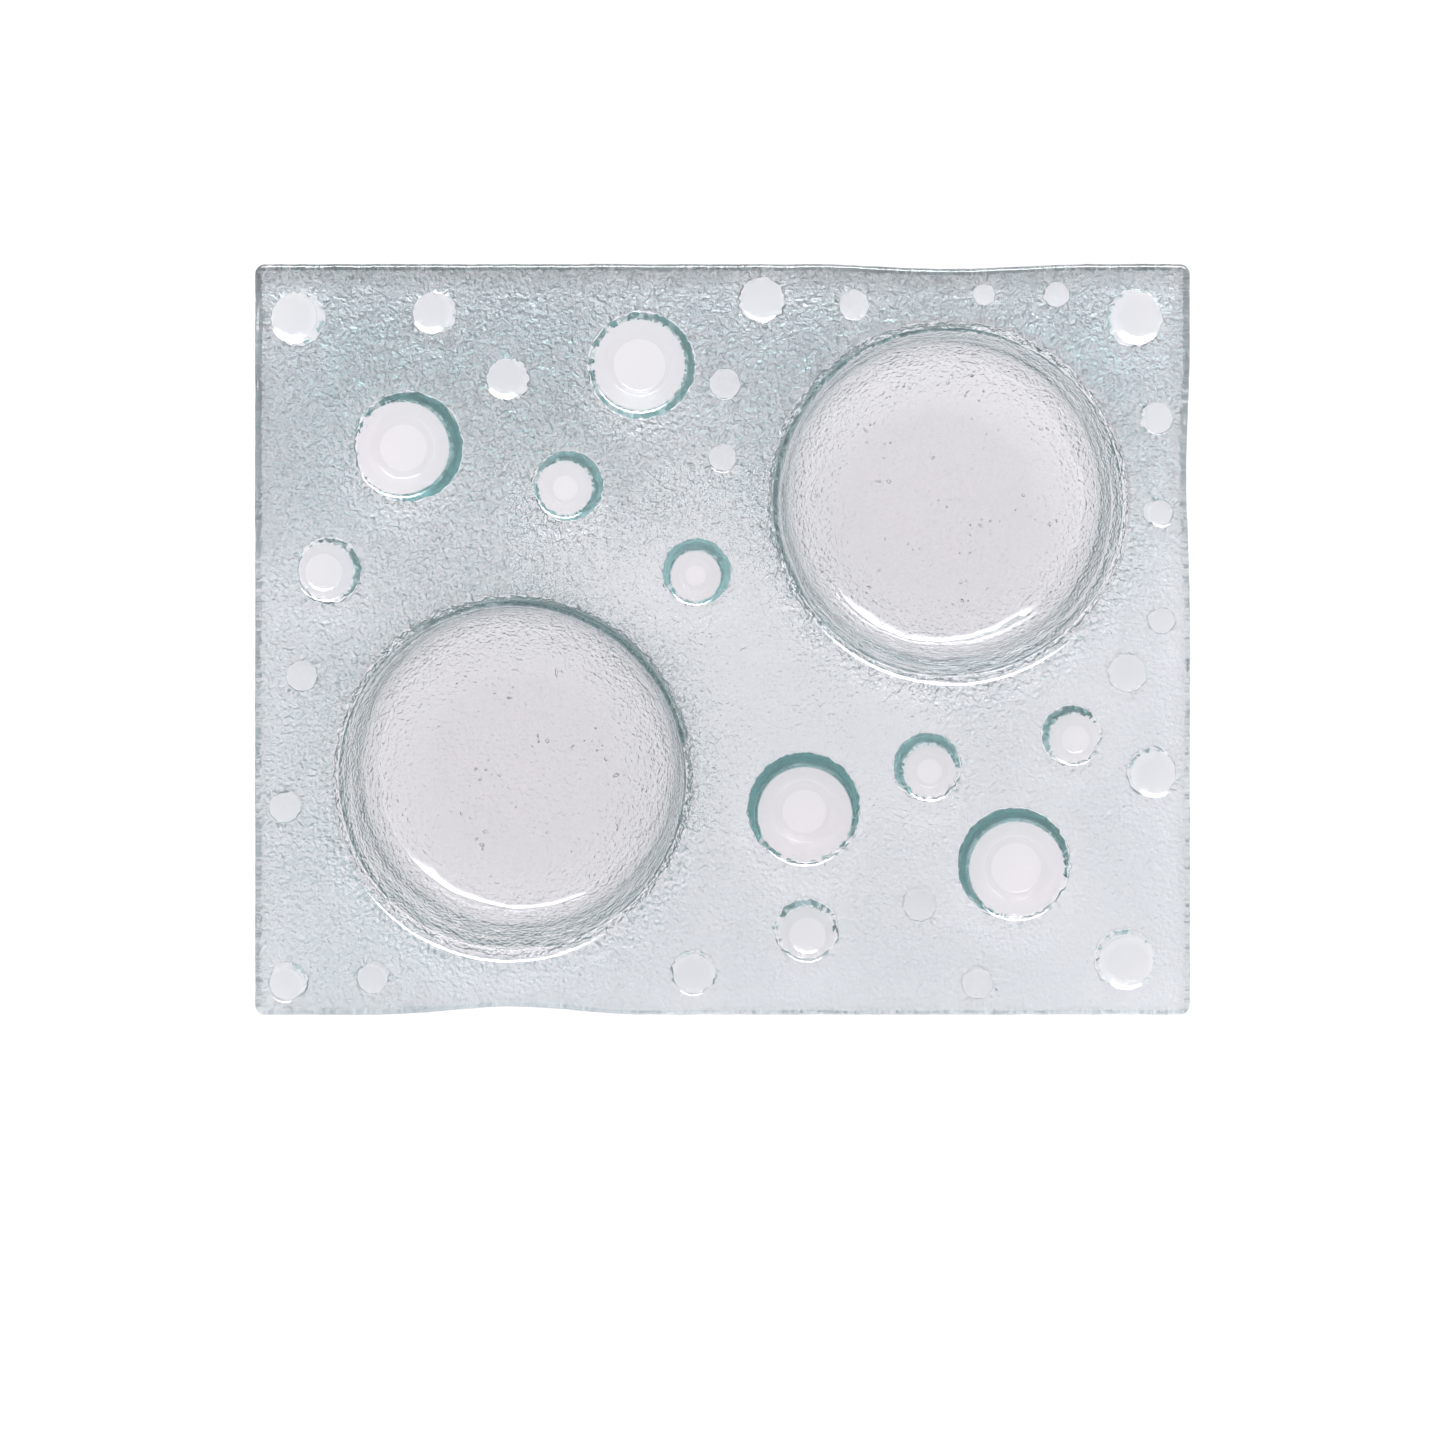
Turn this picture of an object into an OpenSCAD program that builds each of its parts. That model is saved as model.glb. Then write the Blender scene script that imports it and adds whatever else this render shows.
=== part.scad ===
// Chip and dip server: one sheet of float glass, slumped in a kiln over a mould with two deep
// round wells and many round holes. The glass stays flat on the mould, drops into the wells to
// make the two dip bowls, and sags through the holes into smooth round bubbles.
// It is one piece of glass. Each formed region is a solid of its own, and they meet face to face.
// Origin: on the table, under the middle of the sheet. +X runs along the long side, +Y to the
// rear, +Z up.

/* [Sheet] */
// Length of the sheet along X
tray_w = 355; // [355:1:375]
// Depth of the sheet along Y
tray_d = 285; // [285:1:300]
// Thickness of the glass where it stays flat
sheet_t = 6; // [5:0.5:8]
// Radius of the sheet's corners, seen from above
corner_r = 4; // [3:0.5:6]
// How far the fire-polished edge rounds inwards at its top and bottom
nose_in = 2.4; // [1:0.2:2.8]
// How far the front bowl draws the front edge inwards
front_pull = 3; // [0:0.2:4]
// How far the rear bowl draws the rear edge inwards
rear_pull = 1.8; // [0:0.2:2.6]
// How far the right edge is drawn inwards beside the rear bowl
side_pull = 1.4; // [0:0.2:1.6]

/* [Bowls] */
// Height of the sheet's underside above the table
bowl_drop = 44; // [40:1:60]
// Outer radius of a bowl where it leaves the sheet's underside
bowl_r = 69.7; // [66:0.1:70]
// How much a bowl's side tapers inwards over its whole height
bowl_taper = 8.5; // [4:0.5:12]
// Height of a bowl's straight side, from the sheet down to its round corner
side_h = 24; // [16:1:28]
// Radius of the flat foot that a bowl stands on
foot_r = 30; // [24:1:36]
// Thickness of the stretched glass in a bowl
bowl_wall = 4.2; // [3.5:0.1:5]
// Rounding of the lip where the sheet's top turns down into a bowl
lip_r = 6; // [4:0.5:6]
// Centre of the front bowl, left of the middle
front_bowl_x = -80; // [-82:1:-78]
// Centre of the front bowl, in front of the middle
front_bowl_y = -52.5; // [-54:0.5:-51]
// Centre of the rear bowl, right of the middle
rear_bowl_x = 86; // [84:1:86]
// Centre of the rear bowl, behind the middle
rear_bowl_y = 52; // [51:0.5:53]

/* [Bubbles] */
// How deep each bubble sags, as a share of its usual depth
sag = 1; // [0.8:0.05:1.1]
// Width of the rounded shoulder between the sheet's top and a bubble's hollow
shoulder = 1.2; // [0.6:0.2:1.4]

/* [Hidden] */
$fn = 96;

// Each bubble is [x, y, radius of its hole in the mould, how far it sags below the sheet].
DEEP = [
    [-120, 73, 21.5, 17],
    [-31, 104, 21, 14],
    [31, -65, 22, 20],
    [111, -86, 22, 17]
];
MEDIUM = [
    [-59, 58, 14, 11],
    [-10, 25, 13.5, 12],
    [78, -49, 13.5, 10],
    [-150, 26, 13, 7],
    [133, -37, 12, 7.5],
    [32, -111, 12.5, 6.6],
    [153, -122, 12, 4.6],
    [157, 122, 11.5, 4.5],
    [-162, 122, 11, 4.5],
    [163.5, -51, 10, 3.8]
];
SMALL = [
    [-110, 124, 9, 3.5],
    [-82, 99, 9, 3.5],
    [15, 129, 9.5, 3.2],
    [50, 127, 7, 2.2],
    [99.5, 131, 5.2, 1.3],
    [127, 131, 6, 1.6],
    [1, 97, 7, 2.2],
    [0, 69, 6.5, 2],
    [165, 84, 7.3, 2.3],
    [166.3, 48, 6, 2],
    [167, 7, 6, 1.4],
    [154, -13, 8.5, 2.6],
    [75, -101, 7.5, 2.2],
    [97, -131, 7, 2],
    [-11, -127, 9, 3.2],
    [-133, -129, 7, 2],
    [-165.5, -130.5, 8, 2.9],
    [-166.5, -64, 7, 1.8],
    [-160, -14, 7, 1.8]
];

under_z = bowl_drop;          // the sheet's underside
top_z = bowl_drop + sheet_t;  // the sheet's top
pull_w = 52;                  // half width of a stretch of drawn-in edge
side_mid = 62;                // middle of the drawn-in stretch on the right edge
lip_reach = bowl_r + 3;       // the lip starts this far from a bowl's axis
shoulder_drop = 2;            // depth of a bubble's rounded shoulder, where it is deep enough
hollow_inset = 0.14;          // a deeper bubble's hollow is narrower, by this share of its depth

// A smooth bell: 1 at t = 0, and 0 at t = -1 and 1.
function bell(t) = pow(cos(90 * t), 2);
function steps(n) = [for (i = [0 : n]) i / n];

function pull_steps(middle) = [for (t = steps(10)) middle + pull_w * (2 * t - 1)];

function corner(side_x, side_y, from, inset) =
    [for (t = steps(4)) let (a = from + 90 * t)
        [side_x * (tray_w / 2 - corner_r) + (corner_r - inset) * cos(a),
         side_y * (tray_d / 2 - corner_r) + (corner_r - inset) * sin(a)]];

// Outline of the sheet, counter-clockwise, drawn inwards all round by inset.
function outline(inset) = concat(
    corner(-1, -1, 180, inset),
    [for (x = pull_steps(front_bowl_x))
        [x, -tray_d / 2 + inset + front_pull * bell((x - front_bowl_x) / pull_w)]],
    corner(1, -1, 270, inset),
    [for (y = pull_steps(side_mid))
        [tray_w / 2 - inset - side_pull * bell((y - side_mid) / pull_w), y]],
    corner(1, 1, 0, inset),
    [for (x = pull_steps(-rear_bowl_x))
        [-x, tray_d / 2 - inset - rear_pull * bell((x + rear_bowl_x) / pull_w)]],
    corner(-1, 1, 90, inset)
);

// A bubble's own round patch of the sheet ends where its shoulder does.
function patch_r(b) = b[2] + shoulder;

// Stretched glass is thinner: its thickness falls as the cap's area grows.
function bubble_wall(b) = let (d = b[3] * sag) sheet_t * b[2] * b[2] / (b[2] * b[2] + d * d);

// Radius of the sphere whose cap has this mouth radius and this depth.
function cap_r(mouth, depth) = (mouth * mouth + depth * depth) / (2 * depth);

function arc(r, z, from, to) =
    [for (t = steps(14)) let (a = from + (to - from) * t) [r * cos(a), z + r * sin(a)]];

// The outer dome, from its lowest point up to the rim of its hole in the mould.
function dome_line(b) =
    let (d = b[3] * sag, r = cap_r(b[2], d))
    arc(r, under_z - d + r, -90, asin((d - r) / r));

// The hollow: a rounded shoulder from the sheet's top, then a sphere down to the middle.
function hollow_line(b) =
    let (
        d = b[3] * sag,
        depth = d + sheet_t - bubble_wall(b),
        r = cap_r(b[2] - hollow_inset * d, depth),
        z = top_z - depth + r,
        drop = min(shoulder_drop, 0.3 * depth),
        from = asin((top_z - drop - z) / r),
        neck = r * cos(from),
        turn = neck - drop * tan(from)
    )
    concat(
        [for (t = steps(5)) [pow(1 - t, 2) * patch_r(b) + 2 * t * (1 - t) * turn + t * t * neck,
                             top_z - drop * t * t]],
        [for (p = arc(r, z, from, -90)) if (p[1] < top_z - drop - 0.001) p]
    );

module bubble(b) {
    translate([b[0], b[1], 0]) rotate_extrude()
        polygon(concat(dome_line(b), [[patch_r(b), under_z]], hollow_line(b)));
}

// One side of a bowl, from the sheet down to the foot: straight, then a quarter of an ellipse.
// in is how far the line lies inside the outer face, and down is its depth below the underside.
function side_x(down, in) = bowl_r - in - bowl_taper * down / bowl_drop;

function side_line(in) =
    let (corner_h = bowl_drop - side_h - in)
    concat(
        [for (t = steps(4)) [side_x(side_h * t, in), under_z - side_h * t]],
        [for (i = [1 : 16]) let (a = 90 * i / 16, down = side_h + corner_h * sin(a))
            [foot_r + (side_x(down, in) - foot_r) * cos(a), under_z - down]]
    );

module bowl(x, y) {
    outer = side_line(0);
    inner = side_line(bowl_wall);
    lip_end = side_x(0, bowl_wall);
    lip = [for (t = steps(8)) [lip_reach - (lip_reach - lip_end) * sin(90 * t),
                               top_z - lip_r * (1 - cos(90 * t))]];
    translate([x, y, 0]) rotate_extrude() polygon(concat(
        [[0, 0]],
        [for (i = [len(outer) - 1 : -1 : 0]) outer[i]],
        [[lip_reach, under_z]],
        lip,
        [for (p = inner) if (p[1] < top_z - lip_r - 0.5) p],
        [[0, bowl_wall]]
    ));
}

// The flat glass inside the nose, with a round opening for each region formed out of it.
module flat_glass() {
    translate([0, 0, under_z]) linear_extrude(sheet_t) difference() {
        polygon(outline(nose_in));
        for (b = concat(DEEP, MEDIUM, SMALL)) translate([b[0], b[1]]) circle(r = patch_r(b));
        for (c = [[front_bowl_x, front_bowl_y], [rear_bowl_x, rear_bowl_y]])
            translate(c) circle(r = lip_reach);
    }
}

// The rounded nose that runs round the sheet: rings of points joined into a closed band.
module nose() {
    rings = [for (t = steps(8)) let (a = 180 * t - 90)
        [for (p = outline(nose_in * (1 - cos(a)))) [p[0], p[1], under_z + sheet_t * (1 + sin(a)) / 2]]];
    n = len(rings[0]);
    m = len(rings);
    faces = [for (i = [0 : m - 1], j = [0 : n - 1])
        let (i2 = (i + 1) % m, j2 = (j + 1) % n)
        each [[i * n + j, i2 * n + j, i2 * n + j2], [i * n + j, i2 * n + j2, i * n + j2]]];
    polyhedron([for (ring = rings) each ring], faces, 4);
}

module glass_sheet() {
    color("azure", 0.6) {
        flat_glass();
        nose();
    }
}

module front_dip_bowl() {
    color("lightcyan", 0.6) bowl(front_bowl_x, front_bowl_y);
}

module rear_dip_bowl() {
    color("lightcyan", 0.6) bowl(rear_bowl_x, rear_bowl_y);
}

module deep_bubbles() {
    color("paleturquoise", 0.6) for (b = DEEP) bubble(b);
}

module medium_bubbles() {
    color("paleturquoise", 0.6) for (b = MEDIUM) bubble(b);
}

module small_bubbles() {
    color("paleturquoise", 0.6) for (b = SMALL) bubble(b);
}

glass_sheet();
front_dip_bowl();
rear_dip_bowl();
deep_bubbles();
medium_bubbles();
small_bubbles();
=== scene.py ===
"""The chip and dip server: one closed mesh of slumped glass, on a pale floor.

Lengths are in millimetres while the mesh is worked out, and in metres in Blender. Places and the
sizes of bowls and bubbles come from the CAD frame.
"""
import math

import bmesh
import bpy
import numpy as np
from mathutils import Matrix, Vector, noise
from mathutils.geometry import delaunay_2d_cdt


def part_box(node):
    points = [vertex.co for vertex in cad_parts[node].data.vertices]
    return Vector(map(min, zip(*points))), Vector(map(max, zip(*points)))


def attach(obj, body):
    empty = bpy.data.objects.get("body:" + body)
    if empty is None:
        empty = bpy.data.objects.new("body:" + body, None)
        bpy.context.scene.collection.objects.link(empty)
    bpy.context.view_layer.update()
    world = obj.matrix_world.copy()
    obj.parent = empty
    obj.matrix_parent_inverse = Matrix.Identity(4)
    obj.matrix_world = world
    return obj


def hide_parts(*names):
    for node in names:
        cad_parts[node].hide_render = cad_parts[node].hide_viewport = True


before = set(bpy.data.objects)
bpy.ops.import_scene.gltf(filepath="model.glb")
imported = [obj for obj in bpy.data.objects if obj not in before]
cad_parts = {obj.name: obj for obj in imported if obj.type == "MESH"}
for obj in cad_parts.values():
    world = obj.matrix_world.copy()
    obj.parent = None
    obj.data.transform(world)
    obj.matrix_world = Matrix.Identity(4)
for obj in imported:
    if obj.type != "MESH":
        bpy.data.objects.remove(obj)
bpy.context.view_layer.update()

MM = 0.001
SEED = 7

# How the sheet is formed. The CAD has the same corner and the same drawn-in edges.
NOSE_IN = 2.6           # the rounded edge starts this far in from the outline
NOSE_STEPS = 9
CORNER_R = 4.0
CORNER_STEPS = 6
FRONT_PULL = 3.0        # how far the front bowl draws the front edge in
REAR_PULL = 1.8         # the same for the rear bowl and the rear edge
SIDE_PULL = 1.4         # and for the right edge, beside the rear bowl
PULL_HALF_WIDTH = 52.0
SIDE_PULL_Y = 62.0

# How the bowls are formed: the CAD's values down to the lip's drop
BOWL_LIP = 3.0          # the CAD bowl's lip reaches this far outside its wall
BOWL_TAPER = 8.5
BOWL_SIDE_H = 24.0
BOWL_FOOT_R = 30.0
BOWL_WALL = 4.2
BOWL_LIP_DROP = 6.0
BOWL_RIM = 1.5          # outside, the glass turns over the mould's rim in about this radius
BOWL_RIM_IN = 0.3
BOWL_CORNER = 42.0      # length of the rounded corner between a bowl's side and its foot
FOOT_STEP = 0.8         # inside, the bowl's floor lies this much lower, out to the next radius
FOOT_STEP_R = 38.0
FOOT_STEP_WIDTH = 2.5
BOWL_LEAD = (0.3, 3.0)  # the top already sinks this much at the lip, and over this distance

# How the bubbles are formed
CAD_SHOULDER = 1.2      # a CAD bubble's patch reaches this far outside its hole
NECK_IN = (4.3, 0.42)   # a hollow's neck is this far inside its hole, or this share of its sag
SHOULDER = 3.0          # the underside's own region reaches this far outside a hole, with room
ROOM_GAP = 0.3          # flat glass left between two neighbouring regions
MOUTH_OUT = (1.5, 0.2)  # a hollow starts this far outside its hole, from shallow to deep bubbles
DEEP_SAG = 10.0         # a bubble that sags this much counts as deep
BUBBLE_LEAD = (0.45, 1.8)   # the same for a bubble that sags the next length or more
FULL_LEAD_SAG = 9.0
RIM_FILLET = 0.7        # the glass bends over the mould's rim in this radius
DOME_WOBBLE = 0.012     # how far a dome is from round, as a share of its radius

# The glass flowed outwards from here, so hollows and bowl lips lie a little off their holes' middles
FLOW_FROM = (5.0, 100.0)
FLOW_FAR = 110.0        # from this distance on, the flow has its whole size
HOLLOW_FLOW = 1.7
LIP_FLOW = 1.6
LIP_FLOW_DEPTHS = (3.0, 16.0)   # the lip's flow grows over the first depth, and fades over the second

# Layers of noise, each as its height, the size of its features, and a shift that makes it its own
TOP_WAVES = ((0.14, 46, 0), (0.05, 17, 0))
PEBBLES = ((0.10, 3.6, 0), (0.08, 2.3, 50))
PEBBLE_POWER = 1.4      # the pebbles' height goes with the relief there, to this power
BOWL_TEETH = ((1.1, 1.5, 0), (0.9, 4, 0))
BOWL_TEETH_UP = ((0.9, 1.6, 30),)
BOWL_TEETH_WIDTH = 1.8
CORNER_LUMPS = ((0.3, 8, 0),)
SIDE_LUMPS = ((0.22, 4.2, 0), (0.07, 2.1, 50))
DOME_TEETH = ((0.5, 1.2, 0), (0.45, 2.6, 0))
DOME_TEETH_UP = ((0.4, 1.5, 20),)
DOME_TEETH_WIDTH = 1.1
NOSE_BUMPS = ((0.10, 3.0, 0), (0.16, 11, 0))
RIPPLES = ((0.22, 6, 0), (0.08, 3, 0))
RING_HEIGHT = 0.75      # the rings that a bowl's side took as it stretched, with streaks across them
RING_SPACING = 5.5
STREAK_HEIGHT = 0.3
STREAK_WIDTH = 11.0

# How frosted and how grained each part of the underside is
BOWL_FROST = (0.05, 0.24)       # on a bowl's upper side, and how much more on its lower half
BOWL_RELIEF = (0.3, 0.45)
BOWL_RIM_FINISH = (0.15, 1.5)   # frost and relief where the glass turns over the bowl's rim
DOME_FROST = 0.6                # on the shallowest bubbles
DOME_FROST_DEEP = 0.15          # this share of it on the deep ones, which left the mould early
DOME_RELIEF = 0.12

# Distances between mesh points
UNDER_STEP = 1.8
TOP_STEP = 5.0
RIM_STEP = 0.75
BOWL_RIM_STEP = 1.1
DOME_STEP = 2.2
HOLLOW_STEP = 2.4
MOUTH_STEP = 1.8
BOWL_UNDER_STEP = 2.0
BOWL_TOP_STEP = 2.3
EDGE_STEP = 1.8
NET_GAP = 0.6           # the flat net keeps this share of a step away from rings and edges


def box_mm(node):
    """The two corners of a CAD node's box, in millimetres."""
    lo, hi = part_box(node)
    return np.array(lo) / MM, np.array(hi) / MM


sheet_lo, sheet_hi = box_mm("glass_sheet")
UNDER_Z = sheet_lo[2]
TOP_Z = sheet_hi[2]
SHEET_T = TOP_Z - UNDER_Z


# ---------------------------------------------------------------- what the frame holds


def solids_of(node):
    """The box of each separate solid in a CAD node, in millimetres, from left to right."""
    bm = bmesh.new()
    bm.from_mesh(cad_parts[node].data)
    bmesh.ops.remove_doubles(bm, verts=bm.verts, dist=1e-6)
    left = set(bm.verts)
    boxes = []
    while left:
        stack = [left.pop()]
        found = []
        while stack:
            v = stack.pop()
            found.append(v.co)
            for e in v.link_edges:
                w = e.other_vert(v)
                if w in left:
                    left.remove(w)
                    stack.append(w)
        co = np.array(found) / MM
        boxes.append((co.min(0), co.max(0)))
    bm.free()
    return sorted(boxes, key=lambda b: (round(b[0][0], 2), round(b[0][1], 2)))


def bubble_list():
    """Each bubble as its centre, the radius of its hole in the mould, and how far it sags."""
    found = []
    for node in ("deep_bubbles", "medium_bubbles", "small_bubbles"):
        for lo, hi in solids_of(node):
            x, y = (lo[:2] + hi[:2]) / 2
            hole_r = (hi[0] - lo[0]) / 2 - CAD_SHOULDER
            found.append({"x": x, "y": y, "r": hole_r, "sag": UNDER_Z - lo[2]})
    return found


def bowl_list():
    """Each bowl as its centre, its outer radius at the sheet, and how far it drops."""
    found = []
    for node in ("front_dip_bowl", "rear_dip_bowl"):
        lo, hi = box_mm(node)
        x, y = (lo[:2] + hi[:2]) / 2
        outer_r = (hi[0] - lo[0]) / 2 - BOWL_LIP
        found.append({"x": x, "y": y, "r": outer_r, "drop": UNDER_Z - lo[2]})
    return found


BUBBLES = bubble_list()
BOWLS = bowl_list()


# ---------------------------------------------------------------- the outline


def bell(t):
    """A smooth bell: 1 at t = 0, and 0 from t = -1 and 1 outwards."""
    return np.where(np.abs(t) < 1, np.cos(np.clip(t, -1, 1) * math.pi / 2) ** 2, 0)


def pull(size, along, middle):
    """How far an edge is drawn in at each place along it."""
    return size * bell((along - middle) / PULL_HALF_WIDTH)


def outline_base():
    """Points round the sheet counter-clockwise, with the way out at each."""
    hx, hy = sheet_hi[0] - CORNER_R, sheet_hi[1] - CORNER_R
    points, ways = [], []
    corners = [(-hx, -hy), (hx, -hy), (hx, hy), (-hx, hy)]
    for side, facing in enumerate((-90, 0, 90, 180)):
        start, end = corners[side], corners[(side + 1) % 4]
        start, end = np.array(start), np.array(end)
        a = math.radians(facing)
        way = np.array([math.cos(a), math.sin(a)])
        count = round(np.linalg.norm(end - start) / EDGE_STEP)
        for t in np.arange(count) / count:
            points.append(start + (end - start) * t + way * CORNER_R)
            ways.append(way)
        for turn in np.arange(CORNER_STEPS) / CORNER_STEPS:
            b = a + turn * math.pi / 2
            way = np.array([math.cos(b), math.sin(b)])
            points.append(end + way * CORNER_R)
            ways.append(way)
    return np.array(points), np.array(ways)


EDGE_POINTS, EDGE_WAYS = outline_base()


def drawn_in(points):
    """How far the bowls draw the outline in at each of its points, as a vector."""
    front, rear = BOWLS
    x, y = points[:, 0], points[:, 1]
    move = np.zeros_like(points)
    at_front = y < -sheet_hi[1] + CORNER_R
    at_rear = y > sheet_hi[1] - CORNER_R
    at_right = x > sheet_hi[0] - CORNER_R
    move[:, 1] += np.where(at_front, pull(FRONT_PULL, x, front["x"]), 0)
    move[:, 1] -= np.where(at_rear, pull(REAR_PULL, x, rear["x"]), 0)
    move[:, 0] -= np.where(at_right, pull(SIDE_PULL, y, SIDE_PULL_Y), 0)
    return move


def outline(inset):
    """The sheet's outline, drawn inwards all round by inset."""
    return EDGE_POINTS + drawn_in(EDGE_POINTS) - EDGE_WAYS * np.reshape(inset, (-1, 1))


def give_room():
    """Sets how far outside its hole each region may reach before it meets a neighbour."""
    rim = outline(NOSE_IN)
    for b in BOWLS:
        b["reach"] = BOWL_LIP
        b["lead"] = BOWL_LEAD
    for b in BUBBLES:
        to_edge = np.hypot(rim[:, 0] - b["x"], rim[:, 1] - b["y"]).min()
        room = [SHOULDER, to_edge - b["r"] - ROOM_GAP]
        for other in BOWLS:
            apart = math.dist((b["x"], b["y"]), (other["x"], other["y"]))
            room.append(apart - other["r"] - BOWL_LIP - b["r"] - ROOM_GAP)
        for other in BUBBLES:
            if other is not b:
                apart = math.dist((b["x"], b["y"]), (other["x"], other["y"]))
                room.append((apart - other["r"] - b["r"] - ROOM_GAP) / 2)
        b["reach"] = min(room)
        b["lead"] = (BUBBLE_LEAD[0] * min(1, b["sag"] / FULL_LEAD_SAG), BUBBLE_LEAD[1])


give_room()


# ---------------------------------------------------------------- profiles, as (radius, height)


def bezier(p0, p1, p2, n):
    """A curve in n steps from the first point to the last, pulled towards the middle one."""
    t = np.linspace(0, 1, n + 1)[:, None]
    return (1 - t) ** 2 * np.array(p0) + 2 * t * (1 - t) * np.array(p1) + t * t * np.array(p2)


def arc_points(r, z, start, step):
    """From an angle on a circle of that radius and centre height, down to its lowest point."""
    n = max(3, round(r * (start + math.pi / 2) / step))
    a = np.linspace(start, -math.pi / 2, n + 1)
    return np.stack([r * np.cos(a), z + r * np.sin(a)], 1)


def cap_radius(mouth, depth):
    """Radius of the sphere whose cap has this mouth radius and this depth."""
    return (mouth * mouth + depth * depth) / (2 * depth)


def dome_profile(b):
    """A bubble's outside, from the flat underside over the mould's rim to the lowest point."""
    r = cap_radius(b["r"], b["sag"])
    z = UNDER_Z - b["sag"] + r
    edge = math.asin((UNDER_Z - z) / r)
    fillet = min(RIM_FILLET, 0.5 * b["sag"], 0.7 * b["reach"])
    start = edge - fillet / r
    reach = b["r"] + b["reach"]
    lead = [(reach, UNDER_Z)]
    if b["reach"] > 2 * fillet:
        lead.append((b["r"] + fillet + 0.5, UNDER_Z))
    end = (r * math.cos(start), z + r * math.sin(start))
    turn = bezier((b["r"] + fillet, UNDER_Z), (b["r"], UNDER_Z), end, 4)
    return np.concatenate([lead, turn, arc_points(r, z, start, DOME_STEP)[1:]])


def hollow_profile(b):
    """A bubble's hollow: over a soft shoulder to a narrow neck, then round to the lowest point."""
    wall = SHEET_T * b["r"] ** 2 / (b["r"] ** 2 + b["sag"] ** 2)
    sunk, over = b["lead"]
    deep = min(1, b["sag"] / DEEP_SAG)
    out = MOUTH_OUT[0] + (MOUTH_OUT[1] - MOUTH_OUT[0]) * deep
    mouth = (b["r"] + min(out, b["reach"]), TOP_Z - sunk)
    steep = (b["sag"] + SHEET_T - wall - sunk) / mouth[0]
    turn = 2 * math.atan(steep)
    neck_r = b["r"] - min(NECK_IN[0], NECK_IN[1] * b["sag"])
    neck = (neck_r, mouth[1] - (mouth[0] - neck_r) * steep)
    shoulder = bezier(mouth, meeting(mouth, sunk / over, neck, math.tan(turn)), neck, 9)
    r = neck_r / math.sin(turn)
    cap = arc_points(r, neck[1] + r * math.cos(turn), turn - math.pi / 2, HOLLOW_STEP)
    return np.concatenate([shoulder, cap[1:]])


def meeting(a, slope_a, b, slope_b):
    """Where two lines cross, each given by a point and its slope."""
    x = (b[1] - a[1] + slope_a * a[0] - slope_b * b[0]) / (slope_a - slope_b)
    return x, a[1] + slope_a * (x - a[0])


def bowl_side(b, inset, step):
    """One side of a bowl, from the sheet down to the flat of the foot."""
    def side_x(down):
        return b["r"] - inset - BOWL_TAPER * down / b["drop"]
    straight = np.arange(0, BOWL_SIDE_H, step)
    points = [(side_x(d), UNDER_Z - d) for d in straight]
    corner_h = b["drop"] - BOWL_SIDE_H - inset
    for a in np.linspace(0, math.pi / 2, round(BOWL_CORNER / step) + 1):
        down = BOWL_SIDE_H + corner_h * math.sin(a)
        points.append((BOWL_FOOT_R + (side_x(down) - BOWL_FOOT_R) * math.cos(a), UNDER_Z - down))
    return points


def bowl_floor(z, step):
    """The flat of a bowl's foot at that height, from its edge in to the middle."""
    return [(r, z) for r in np.linspace(BOWL_FOOT_R, 0, round(BOWL_FOOT_R / step) + 1)[1:]]


def bowl_under_profile(b):
    """A bowl's outside, from the flat underside over the mould's rim to the middle of its foot."""
    rim_end = (b["r"] - BOWL_RIM_IN, UNDER_Z - BOWL_RIM)
    rim = bezier((b["r"] + BOWL_RIM, UNDER_Z), (b["r"], UNDER_Z), rim_end, 4)
    lead = [(b["r"] + b["reach"], UNDER_Z)]
    below_rim = UNDER_Z - 1.5 * BOWL_RIM
    side = [p for p in bowl_side(b, 0, BOWL_UNDER_STEP) if p[1] < below_rim]
    return np.concatenate([lead, rim, side, bowl_floor(UNDER_Z - b["drop"], BOWL_UNDER_STEP)])


def bowl_top_profile(b):
    """A bowl's inside, from the sheet's top over its lip to the middle of its floor."""
    sunk, over = b["lead"]
    mouth = (b["r"] + b["reach"], TOP_Z - sunk)
    end = (b["r"] - BOWL_WALL - 0.5, TOP_Z - BOWL_LIP_DROP - 3)
    lip = bezier(mouth, meeting(mouth, sunk / over, end, b["drop"] / BOWL_TAPER), end, 10)
    side = [p for p in bowl_side(b, BOWL_WALL, BOWL_TOP_STEP) if p[1] < end[1] - 1.5]
    return np.concatenate([lip, side, bowl_floor(UNDER_Z - b["drop"] + BOWL_WALL, BOWL_TOP_STEP)])


# ---------------------------------------------------------------- the mesh


class Glass:
    """Points and faces of one closed mesh, with how frosted and how grained each point is."""

    def __init__(self):
        self.points = []
        self.frost = []
        self.relief = []
        self.faces = []

    def add(self, xyz, frost, relief):
        first = len(self.points)
        self.points.extend(map(tuple, xyz))
        self.frost.extend(np.broadcast_to(frost, (len(xyz),)))
        self.relief.extend(np.broadcast_to(relief, (len(xyz),)))
        return list(range(first, first + len(xyz)))

    def triangle(self, a, b, c, upward):
        self.faces.append((a, b, c) if upward else (a, c, b))

    def stitch(self, outer, inner, outer_phase, inner_phase, upward):
        """Joins two rings that may have different numbers of points."""
        na, nb = len(outer), len(inner)
        i = j = 0
        while i < na or j < nb:
            if j == nb or (i < na and (i + 1 + outer_phase) * nb <= (j + 1 + inner_phase) * na):
                self.triangle(outer[i % na], outer[(i + 1) % na], inner[j % nb], upward)
                i += 1
            else:
                self.triangle(outer[i % na], inner[(j + 1) % nb], inner[j % nb], upward)
                j += 1


def ring_angles(count, phase):
    """The angles of a ring's points. A phase of 0.5 turns it by half the space between two."""
    return (np.arange(count) + phase) * 2 * math.pi / count


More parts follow.
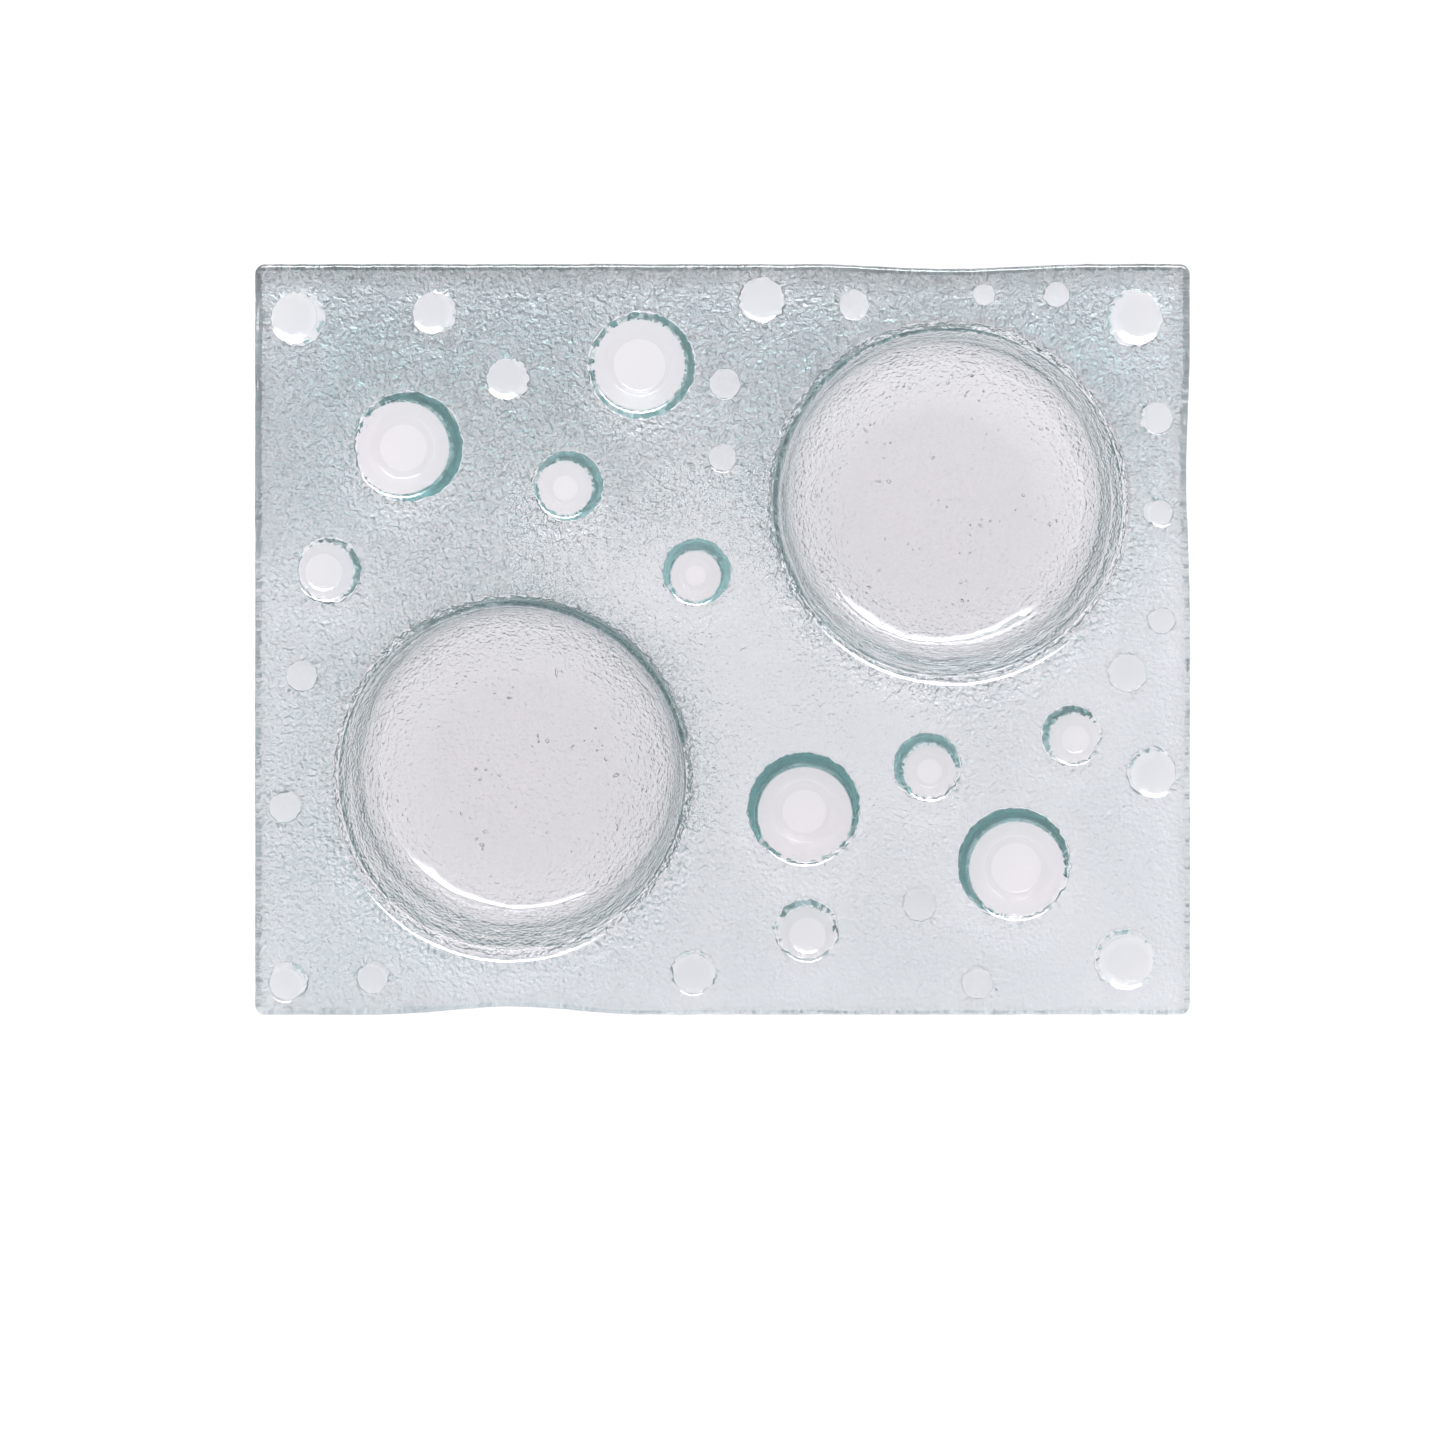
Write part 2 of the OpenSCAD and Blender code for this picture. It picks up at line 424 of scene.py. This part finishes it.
def wobble(angles, seed, parts):
    """A slow wave round a circle, between about -1 and 1."""
    rng = np.random.default_rng(seed)
    wave = np.zeros_like(angles)
    for k in parts:
        wave += rng.uniform(0.4, 1) * np.cos(k * angles + rng.uniform(0, 2 * math.pi))
    return wave / len(parts)


def noise_at(points, size):
    """Smooth noise between about -1 and 1, with features of that size."""
    return np.array([noise.noise(Vector(p) / size) for p in points])


def layered(points, layers):
    """Noise of several sizes added up, from layers of (height, size, shift)."""
    return sum(height * noise_at(points + shift, size) for height, size, shift in layers)


def outwards(angles):
    """The way out from a round region's middle at each angle."""
    return np.column_stack([np.cos(angles), np.sin(angles), np.zeros(len(angles))])


def add_rings(glass, shape, profile, steps, first_ring, upward, form, finish):
    """Adds a round region ring by ring, from first_ring inwards.

    form takes a ring's points, its angles and its place in the profile, and returns them shaped.
    finish takes the shaped points and the place, and returns their frost and relief.
    """
    outer, outer_phase = first_ring, 0.0
    for k in range(1, len(profile)):
        r, z = profile[k]
        if r < 0.3:
            tip = form(np.array([[shape["x"], shape["y"], z]]), np.zeros(1), k)
            tip = glass.add(tip, *finish(tip, k))[0]
            for i in range(len(outer)):
                glass.triangle(outer[i], outer[(i + 1) % len(outer)], tip, upward)
            return
        count = max(7, round(2 * math.pi * r / steps[k]))
        phase = 0.5 * (k % 2)
        angles = ring_angles(count, phase)
        x = shape["x"] + r * np.cos(angles)
        y = shape["y"] + r * np.sin(angles)
        ring = form(np.stack([x, y, np.full(count, z)], 1), angles, k)
        inner = glass.add(ring, *finish(ring, k))
        glass.stitch(outer, inner, outer_phase, phase, upward)
        outer, outer_phase = inner, phase


# ---------------------------------------------------------------- the flat glass


def hex_points(step):
    """A jittered net of points over the sheet."""
    rng = np.random.default_rng(SEED)
    rows = []
    for j, y in enumerate(np.arange(sheet_lo[1], sheet_hi[1], step * math.sqrt(0.75))):
        x = np.arange(sheet_lo[0], sheet_hi[0], step) + (j % 2) * step / 2
        rows.append(np.stack([x, np.full(len(x), y)], 1))
    net = np.concatenate(rows)
    return net + rng.uniform(-0.12, 0.12, net.shape) * step


def inside_outline(points, inset):
    """True for points that are at least that far inside the sheet's edge."""
    front, rear = BOWLS
    x, y = points[:, 0], points[:, 1]
    low = -sheet_hi[1] + pull(FRONT_PULL, x, front["x"]) + inset
    high = sheet_hi[1] - pull(REAR_PULL, x, rear["x"]) - inset
    right = sheet_hi[0] - pull(SIDE_PULL, y, SIDE_PULL_Y) - inset
    return (y > low) & (y < high) & (x < right) & (x > sheet_lo[0] + inset)


def flat_net(step, rounds):
    """Triangles over the flat glass, between the outline and the round regions.

    rounds holds (x, y, radius, count) of each region's outermost ring. Returns the points, the
    triangles, and where the outline and each ring lie among the points.
    """
    rim = outline(NOSE_IN)
    net = hex_points(step)
    net = net[inside_outline(net, NOSE_IN + NET_GAP * step)]
    for x, y, r, count in rounds:
        local_step = min(step, 2 * math.pi * r / count * 2)
        net = net[np.hypot(net[:, 0] - x, net[:, 1] - y) > r + NET_GAP * local_step]
    loops = [rim]
    for x, y, r, count in rounds:
        a = ring_angles(count, 0)
        loops.append(np.stack([x + r * np.cos(a), y + r * np.sin(a)], 1))
    edges, starts, at = [], [], 0
    for loop in loops:
        starts.append((at, len(loop)))
        edges += [(at + i, at + (i + 1) % len(loop)) for i in range(len(loop))]
        at += len(loop)
    points = np.concatenate(loops + [net])
    made = delaunay_2d_cdt([Vector(p) for p in points], edges, [], 0, 1e-5)
    assert len(made[0]) == len(points), "the net's points were merged or cut"
    triangles = np.array(made[2])
    middle = points[triangles].mean(1)
    keep = inside_outline(middle, NOSE_IN)
    for x, y, r, count in rounds:
        keep &= np.hypot(middle[:, 0] - x, middle[:, 1] - y) > r
    return points, triangles[keep], starts


# ---------------------------------------------------------------- surface detail


def top_swell(points, skip=None):
    """The fire-polished top isn't quite flat, and it sinks towards each bowl and bubble."""
    swell = layered(points, TOP_WAVES)
    for b in BOWLS + BUBBLES:
        if b is not skip:
            away = np.hypot(points[:, 0] - b["x"], points[:, 1] - b["y"]) - b["top_r"]
            swell -= b["lead"][0] * np.exp(-np.maximum(away, 0) / b["lead"][1])
    return swell


def under_grain(points):
    """The pebbly print of the mould, in millimetres: deepest where the relief is strongest."""
    return layered(points, PEBBLES) * flat_relief(points) ** PEBBLE_POWER


def rise(values, start, end):
    """0 up to the start, 1 from the end on, and in proportion between them."""
    return np.clip((values - start) / (end - start), 0, 1)


def flat_relief(points):
    """How strong the mould's fine grain is: most at the rear and close to the bowls."""
    relief = 0.75 + 0.25 * noise_at(points, 38)
    relief += 2.0 * rise(points[:, 1], 10, 140)
    relief += 0.6 * rise(-points[:, 0], 0, 170)
    for b in BOWLS:
        away = np.hypot(points[:, 0] - b["x"], points[:, 1] - b["y"]) - b["r"]
        relief += np.exp(-np.maximum(away, 0) / 7)
    return relief


def frost_and_edge_shade(points):
    """How frosted the flat glass is: frosted by the mould, more towards the rear, and more again
    towards the edges as painted shade, so the edges look darker and the middle brighter.
    """
    to_edge = np.maximum(np.abs(points[:, 0]) / sheet_hi[0], np.abs(points[:, 1]) / sheet_hi[1])
    # painted shade: more frost towards the edges darkens them, so the middle looks lit brighter
    edge = rise(to_edge, 0.45, 1.0)
    rear = rise(points[:, 1], 20, 130)
    return np.clip(0.42 + 0.35 * edge + 0.1 * rear + 0.06 * noise_at(points, 38), 0, 1)


def make_under(glass):
    """The underside: flat glass with the mould's grain, the bowls and the bubbles."""
    regions = []
    for b in BOWLS:
        profile = bowl_under_profile(b)
        steps = np.where(profile[:, 1] > UNDER_Z - 2 * BOWL_RIM, BOWL_RIM_STEP, BOWL_UNDER_STEP)
        regions.append((b, profile, steps, bowl_under_shaping(b, profile)))
    for number, b in enumerate(BUBBLES):
        profile = dome_profile(b)
        steps = np.where(profile[:, 1] > UNDER_Z - 2 * RIM_STEP, RIM_STEP, DOME_STEP)
        regions.append((b, profile, steps, dome_shaping(b, profile, len(BOWLS) + number)))
    rounds = []
    for b, profile, steps, shaping in regions:
        r = profile[0][0]
        rounds.append((b["x"], b["y"], r, round(2 * math.pi * r / steps[0])))
    flat, triangles, starts = flat_net(UNDER_STEP, rounds)
    xyz = np.column_stack([flat, np.full(len(flat), UNDER_Z)])
    xyz[:, 2] += under_grain(xyz)
    index = glass.add(xyz, frost_and_edge_shade(xyz), flat_relief(xyz))
    for a, b, c in triangles:
        glass.triangle(index[a], index[b], index[c], False)
    for (b, profile, steps, shaping), (start, count) in zip(regions, starts[1:]):
        add_rings(glass, b, profile, steps, index[start:start + count], False, *shaping)
    start, count = starts[0]
    return index[start:start + count]


def bowl_under_shaping(b, profile):
    """How a bowl's outside is shaped and finished: ragged at its rim, and lumpy below."""
    down = UNDER_Z - profile[:, 1]
    rim = np.hypot(profile[:, 0] - b["r"], down)

    def form(points, angles, k):
        out = outwards(angles)
        teeth = math.exp(-(rim[k] / BOWL_TEETH_WIDTH) ** 2)
        points = points + out * (teeth * layered(points, BOWL_TEETH))[:, None]
        points[:, 2] += teeth * layered(points, BOWL_TEETH_UP)
        lumps = layered(points, SIDE_LUMPS) + rise(down[k], 20, 32) * layered(points, CORNER_LUMPS)
        if down[k] < b["drop"] - 1.5:
            points = points + out * lumps[:, None]
        if down[k] > BOWL_SIDE_H:
            points[:, 2] += np.abs(lumps)
        elif down[k] < 1:
            points[:, 2] += under_grain(points)
        return points

    def finish(points, k):
        if down[k] < 0.5:
            return frost_and_edge_shade(points), flat_relief(points)
        if rim[k] < 4:
            return BOWL_RIM_FINISH
        low = rise(down[k], 14, 28)
        return BOWL_FROST[0] + BOWL_FROST[1] * low, BOWL_RELIEF[0] + BOWL_RELIEF[1] * low

    return form, finish


def dome_shaping(b, profile, number):
    """How a bubble's outside is shaped and finished: ragged at its rim, and smooth below."""
    rim = np.hypot(profile[:, 0] - b["r"], profile[:, 1] - UNDER_Z)
    frost = DOME_FROST * max(DOME_FROST_DEEP, 1 - b["sag"] / DEEP_SAG)
    inward = np.clip((profile[0][0] - profile[:, 0]) / (2 * b["reach"]), 0, 1)

    def form(points, angles, k):
        teeth = math.exp(-(rim[k] / DOME_TEETH_WIDTH) ** 2)
        ragged = layered(points, DOME_TEETH) * teeth
        r = profile[k][0]
        slow = wobble(angles, SEED + 11 * number, (2, 3, 5, 7)) * DOME_WOBBLE * r * inward[k]
        if r > 1:
            points = points + outwards(angles) * (ragged + slow)[:, None]
        points[:, 2] += layered(points, DOME_TEETH_UP) * teeth
        if profile[k][1] > UNDER_Z - 0.3:
            points[:, 2] += under_grain(points)
        return points

    def finish(points, k):
        if profile[k][1] > UNDER_Z - 0.1:
            return frost_and_edge_shade(points), flat_relief(points)
        return frost, DOME_RELIEF

    return form, finish


def flow(b, size):
    """How far a region's hollow lies off its hole's middle, as a vector."""
    away = np.array([b["x"] - FLOW_FROM[0], b["y"] - FLOW_FROM[1]])
    distance = np.linalg.norm(away)
    return away / distance * size * min(1, distance / FLOW_FAR)


def ripples(points, angles, b):
    """Rings and streaks left in a bowl's side as it stretched, as moves of its points."""
    depth = TOP_Z - points[:, 2]
    away = np.hypot(points[:, 0] - b["x"], points[:, 1] - b["y"])
    along = (depth + b["r"] - away) / RING_SPACING
    around = points[:, :2]
    rings = noise_along(around / 48, along)
    streaks = noise_along(around / STREAK_WIDTH, along / 3)
    wall = np.clip(depth / 8, 0, 1) * np.clip((away - 20) / 25, 0.25, 1)
    size = wall * (RING_HEIGHT * rings + STREAK_HEIGHT * streaks + layered(points, RIPPLES))
    foot = -FOOT_STEP * np.clip((FOOT_STEP_R - away) / FOOT_STEP_WIDTH, 0, 1)
    return np.column_stack([np.cos(angles) * size, np.sin(angles) * size, 0.4 * size + foot])


def noise_along(places, third):
    """Smooth noise at flat places, with a third coordinate of its own for each."""
    return np.array([noise.noise(Vector((u, v, w))) for (u, v), w in zip(places, third)])


def bowl_top_form(b, profile):
    """How the rings inside a bowl are shaped."""
    grows, fades = LIP_FLOW_DEPTHS

    def form(points, angles, k):
        points = points + ripples(points, angles, b)
        down = TOP_Z - profile[k][1]
        points[:, :2] += flow(b, LIP_FLOW) * min(1, down / grows) * math.exp(-down / fades)
        points[:, 2] += top_swell(points, b)
        return points

    return form


def hollow_form(b, profile):
    """How the rings inside a bubble are shaped."""
    mouth = profile[0][0]
    move = flow(b, HOLLOW_FLOW * min(1, b["sag"] / DEEP_SAG))

    def form(points, angles, k):
        points = points.copy()
        inward = (mouth - profile[k][0]) / (mouth - b["r"] + NECK_IN[0])
        points[:, :2] += move * min(1, inward)
        points[:, 2] += top_swell(points, b)
        return points

    return form


def polished(points, k):
    """The fire-polished top has no frost and no grain."""
    return 0.0, 0.0


def make_top(glass):
    """The smooth top: nearly flat glass, soft shoulders, the bowls and the hollows."""
    regions = []
    for b in BOWLS:
        profile = bowl_top_profile(b)
        regions.append((b, profile, BOWL_TOP_STEP, bowl_top_form(b, profile)))
    for b in BUBBLES:
        profile = hollow_profile(b)
        regions.append((b, profile, MOUTH_STEP, hollow_form(b, profile)))
    rounds = []
    for b, profile, step, form in regions:
        b["top_r"] = profile[0][0]
        rounds.append((b["x"], b["y"], b["top_r"], round(2 * math.pi * b["top_r"] / step)))
    flat, triangles, starts = flat_net(TOP_STEP, rounds)
    xyz = np.column_stack([flat, np.full(len(flat), TOP_Z)])
    xyz[:, 2] += top_swell(xyz)
    index = glass.add(xyz, 0.0, 0.0)
    for a, b, c in triangles:
        glass.triangle(index[a], index[b], index[c], True)
    for (b, profile, step, form), (start, count) in zip(regions, starts[1:]):
        steps = np.full(len(profile), step)
        add_rings(glass, b, profile, steps, index[start:start + count], True, form, polished)
    start, count = starts[0]
    return index[start:start + count]


def make_nose(glass, top_ring, under_ring):
    """The fire-polished edge that joins the top to the underside."""
    rings = [top_ring]
    for i in range(1, NOSE_STEPS):
        a = math.pi / 2 - math.pi * i / NOSE_STEPS
        flat = outline(NOSE_IN * (1 - math.cos(a)))
        z = np.full(len(flat), (TOP_Z + UNDER_Z) / 2 + SHEET_T / 2 * math.sin(a))
        points = np.column_stack([flat, z])
        share = max(0, -math.sin(a)) ** 2
        points[:, :2] += EDGE_WAYS * layered(points, NOSE_BUMPS)[:, None]
        points[:, 2] += top_swell(points) * (1 - i / NOSE_STEPS)
        rings.append(glass.add(points, share, share))
    rings.append(under_ring)
    for upper, lower in zip(rings, rings[1:]):
        n = len(upper)
        for i in range(n):
            j = (i + 1) % n
            glass.faces.append((upper[i], lower[i], lower[j], upper[j]))


def make_glass():
    """The whole server as one object, which stands for every node of the CAD."""
    glass = Glass()
    top_ring = make_top(glass)
    under_ring = make_under(glass)
    make_nose(glass, top_ring, under_ring)
    mesh = bpy.data.meshes.new("glass_server")
    mesh.from_pydata([tuple(c * MM for c in p) for p in glass.points], [], glass.faces)
    mesh.polygons.foreach_set("use_smooth", [True] * len(mesh.polygons))
    for name, values in (("frost", glass.frost), ("relief", glass.relief)):
        layer = mesh.attributes.new(name, "FLOAT", "POINT")
        layer.data.foreach_set("value", np.array(values, np.float32))
    mesh.update()
    piece = bpy.data.objects.new("glass_server", mesh)
    bpy.context.scene.collection.objects.link(piece)
    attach(piece, "root")
    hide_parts("glass_sheet", "front_dip_bowl", "rear_dip_bowl",
                "deep_bubbles", "medium_bubbles", "small_bubbles")
    return piece


# ---------------------------------------------------------------- materials


# The base colour: a faint lilac tint, greyed below white as painted shade, so the glass looks darker
# as if the floor under the tray lay in shade
GLASS_TINT_AND_SHADE = (0.89, 0.825, 0.84, 1)
GLASS_IOR = 1.52
DEPTH_COLOUR = (0.20, 0.56, 0.55, 1)    # what thick glass turns the light to
DEPTH_DENSITY = 41
FROST = 0.60              # this share of the light doesn't pass straight through the mould's print
GRAIN_ROUGHNESS = 0.06
GRAIN_SCALE = 620
GRAIN_HEIGHT = 0.0015     # in metres, where the relief is 1

# Sparse pits on the clear glass of the bowls: spots of one noise, inside patches of another
PIT_DEPTH = 0.4
PIT_SCALE = 520
PIT_EDGES = (0.72, 0.82)
PATCH_SCALE = 55
PATCH_EDGES = (0.50, 0.66)
PIT_FROST = (0.38, 0.30)  # they end where the glass is more frosted than this

FLOOR_COLOUR = (0.12, 0.12, 0.12, 1)
FLOOR_ROUGHNESS = 0.8


def new_material(name):
    material = bpy.data.materials.new(name)
    material.use_nodes = True
    nodes = material.node_tree.nodes
    nodes.clear()
    return material, nodes, material.node_tree.links


def ramp(nodes, links, value, low, high, strength=1.0):
    """Rises smoothly from 0 at low to that strength at high; low may be the larger of the two."""
    soft = nodes.new("ShaderNodeMapRange")
    soft.interpolation_type = "SMOOTHSTEP"
    ends = ("From Min", "From Max", "To Min", "To Max")
    values = (low, high, 0, strength) if low < high else (high, low, strength, 0)
    for name, number in zip(ends, values):
        soft.inputs[name].default_value = number
    links.new(value, soft.inputs["Value"])
    return soft.outputs["Result"]


def combine(nodes, links, operation, a, b):
    """Puts two values together; the second may be a plain number."""
    node = nodes.new("ShaderNodeMath")
    node.operation = operation
    links.new(a, node.inputs[0])
    if isinstance(b, float):
        node.inputs[1].default_value = b
    else:
        links.new(b, node.inputs[1])
    return node.outputs["Value"]


def attribute(nodes, name):
    node = nodes.new("ShaderNodeAttribute")
    node.attribute_name = name
    return node.outputs["Fac"]


def noise_texture(nodes, links, place, scale, detail):
    node = nodes.new("ShaderNodeTexNoise")
    node.inputs["Scale"].default_value = scale
    node.inputs["Detail"].default_value = detail
    links.new(place, node.inputs["Vector"])
    return node.outputs["Fac"]


def print_height(nodes, links, frosted, relief):
    """The height of the mould's fine print, with the pits."""
    place = nodes.new("ShaderNodeTexCoord").outputs["Object"]
    grain = noise_texture(nodes, links, place, GRAIN_SCALE, 2.5)
    spots = noise_texture(nodes, links, place, PIT_SCALE, 0)
    patches = noise_texture(nodes, links, place, PATCH_SCALE, 1)
    pits = ramp(nodes, links, spots, *PIT_EDGES, PIT_DEPTH)
    pits = combine(nodes, links, "MULTIPLY", pits, ramp(nodes, links, patches, *PATCH_EDGES))
    pits = combine(nodes, links, "MULTIPLY", pits, ramp(nodes, links, frosted, *PIT_FROST))
    height = combine(nodes, links, "ADD", grain, pits)
    return combine(nodes, links, "MULTIPLY", height, relief)


def glass_material():
    """Clear float glass, green in depth, with the mould's fine grain on the underside, and a base
    colour greyed as painted shade.
    """
    material, nodes, links = new_material("slumped_glass")
    out = nodes.new("ShaderNodeOutputMaterial")
    body = nodes.new("ShaderNodeBsdfPrincipled")
    # painted shade: the greyed base colour darkens the glass in place of the shade under the tray
    body.inputs["Base Color"].default_value = GLASS_TINT_AND_SHADE
    body.inputs["IOR"].default_value = GLASS_IOR
    links.new(body.outputs["BSDF"], out.inputs["Surface"])
    depth = nodes.new("ShaderNodeVolumeAbsorption")
    depth.inputs["Color"].default_value = DEPTH_COLOUR
    depth.inputs["Density"].default_value = DEPTH_DENSITY
    links.new(depth.outputs["Volume"], out.inputs["Volume"])
    # frost from the mould; on the flat glass it also holds painted shade, more frost towards the
    # edges
    frosted = attribute(nodes, "frost")
    bump = nodes.new("ShaderNodeBump")
    bump.inputs["Distance"].default_value = GRAIN_HEIGHT
    links.new(print_height(nodes, links, frosted, attribute(nodes, "relief")), bump.inputs["Height"])
    links.new(bump.outputs["Normal"], body.inputs["Normal"])
    rough = combine(nodes, links, "MULTIPLY", frosted, GRAIN_ROUGHNESS)
    links.new(rough, body.inputs["Roughness"])
    frost = combine(nodes, links, "MULTIPLY", frosted, -FROST)
    links.new(combine(nodes, links, "ADD", frost, 1.0), body.inputs["Transmission Weight"])
    return material


def floor_material():
    """A pale table, lit a little from below."""
    material, nodes, links = new_material("pale_floor")
    out = nodes.new("ShaderNodeOutputMaterial")
    body = nodes.new("ShaderNodeBsdfPrincipled")
    body.inputs["Base Color"].default_value = FLOOR_COLOUR
    body.inputs["Emission Color"].default_value = STUDIO_COLOUR
    body.inputs["Emission Strength"].default_value = TABLE_GLOW
    body.inputs["Roughness"].default_value = FLOOR_ROUGHNESS
    links.new(body.outputs["BSDF"], out.inputs["Surface"])
    return material


# ---------------------------------------------------------------- floor, light and camera


FLOOR_HALF = 4.0          # in metres
FLOOR_BELOW = 0.1         # in millimetres, under the bowls' feet

# The studio's light. Heights are sines of the angle above the horizon, and the panel's sides are
# cosines of the angle from its own way. Each pair runs from where the light is 0 to where it is full.
STUDIO_COLOUR = (1.0, 0.985, 1.02, 1)
TABLE_GLOW = 0.86         # the pale table is lit from below too, so shadows on it stay faint
CEILING = 1.5
HORIZON = 0.3             # added to the ceiling's light all round, close to the horizon
HORIZON_EDGES = (0.30, 0.06)
PANEL = 23.0              # the narrow panel, low behind the tray
RING = 0.5                # the panel goes on round the room, much dimmer
PANEL_WAY = (0.15, 0.98, 0)
PANEL_SIDES = (0.62, 0.86)
PANEL_BOTTOM = (0.02, 0.10)
PANEL_TOP = (0.46, 0.30)

CAMERA_HEIGHT = 0.85      # above the sheet, in metres
CAMERA_X = 0.005          # from the sheet's middle
CAMERA_Y = 0.085          # the same, towards the rear
FRAME_WIDTH = 0.5468      # how much of the sheet's plane the picture's width takes in
MIDDLE_UP = 0.0571        # the sheet's middle is this share of the picture above its middle
SENSOR_WIDTH = 36         # in millimetres


def make_floor():
    mesh = bpy.data.meshes.new("floor")
    z = -FLOOR_BELOW * MM
    corners = [(-1, -1), (1, -1), (1, 1), (-1, 1)]
    mesh.from_pydata([(x * FLOOR_HALF, y * FLOOR_HALF, z) for x, y in corners], [], [(0, 1, 2, 3)])
    floor = bpy.data.objects.new("floor", mesh)
    bpy.context.scene.collection.objects.link(floor)
    mesh.materials.append(floor_material())


def sky_dot(nodes, links, direction, towards):
    """The cosine of the angle between the way that a ray goes and a given way."""
    along = nodes.new("ShaderNodeVectorMath")
    along.operation = "DOT_PRODUCT"
    along.inputs[1].default_value = Vector(towards).normalized()
    links.new(direction, along.inputs[0])
    return along.outputs["Value"]


def make_world():
    """An even ceiling, a slightly brighter horizon, and a narrow bright panel low at the rear."""
    world = bpy.data.worlds.new("studio")
    bpy.context.scene.world = world
    world.use_nodes = True
    nodes, links = world.node_tree.nodes, world.node_tree.links
    direction = nodes.new("ShaderNodeTexCoord").outputs["Generated"]
    split = nodes.new("ShaderNodeSeparateXYZ")
    links.new(direction, split.inputs["Vector"])
    up = split.outputs["Z"]
    horizon = ramp(nodes, links, up, *HORIZON_EDGES, HORIZON)
    rear = ramp(nodes, links, sky_dot(nodes, links, direction, PANEL_WAY), *PANEL_SIDES, PANEL)
    rear = combine(nodes, links, "ADD", rear, RING)
    bottom = ramp(nodes, links, up, *PANEL_BOTTOM)
    top = ramp(nodes, links, up, *PANEL_TOP)
    panel = combine(nodes, links, "MULTIPLY", combine(nodes, links, "MULTIPLY", rear, bottom), top)
    total = combine(nodes, links, "ADD", combine(nodes, links, "ADD", horizon, panel), CEILING)
    links.new(total, nodes["Background"].inputs["Strength"])
    nodes["Background"].inputs["Color"].default_value = STUDIO_COLOUR


def make_light():
    """The world, and enough bounces for light to get in and out of the glass."""
    make_world()
    bpy.context.scene.view_settings.view_transform = "Standard"
    bpy.context.scene.cycles.max_bounces = 32
    bpy.context.scene.cycles.transmission_bounces = 32
    bpy.context.scene.cycles.glossy_bounces = 24


def make_camera():
    """Straight down from over the rear of the sheet, shifted so that the whole sheet is in view."""
    data = bpy.data.cameras.new("camera")
    camera = bpy.data.objects.new("camera", data)
    bpy.context.scene.collection.objects.link(camera)
    camera.location = (CAMERA_X, CAMERA_Y, TOP_Z * MM + CAMERA_HEIGHT)
    camera.rotation_euler = (0, 0, 0)
    data.sensor_width = SENSOR_WIDTH
    data.lens = SENSOR_WIDTH * CAMERA_HEIGHT / FRAME_WIDTH
    across = data.lens / data.sensor_width
    data.shift_x = -CAMERA_X / CAMERA_HEIGHT * across
    data.shift_y = -CAMERA_Y / CAMERA_HEIGHT * across - MIDDLE_UP
    bpy.context.scene.camera = camera


glass_server = make_glass()
glass_server.data.materials.append(glass_material())
make_floor()
make_light()
make_camera()
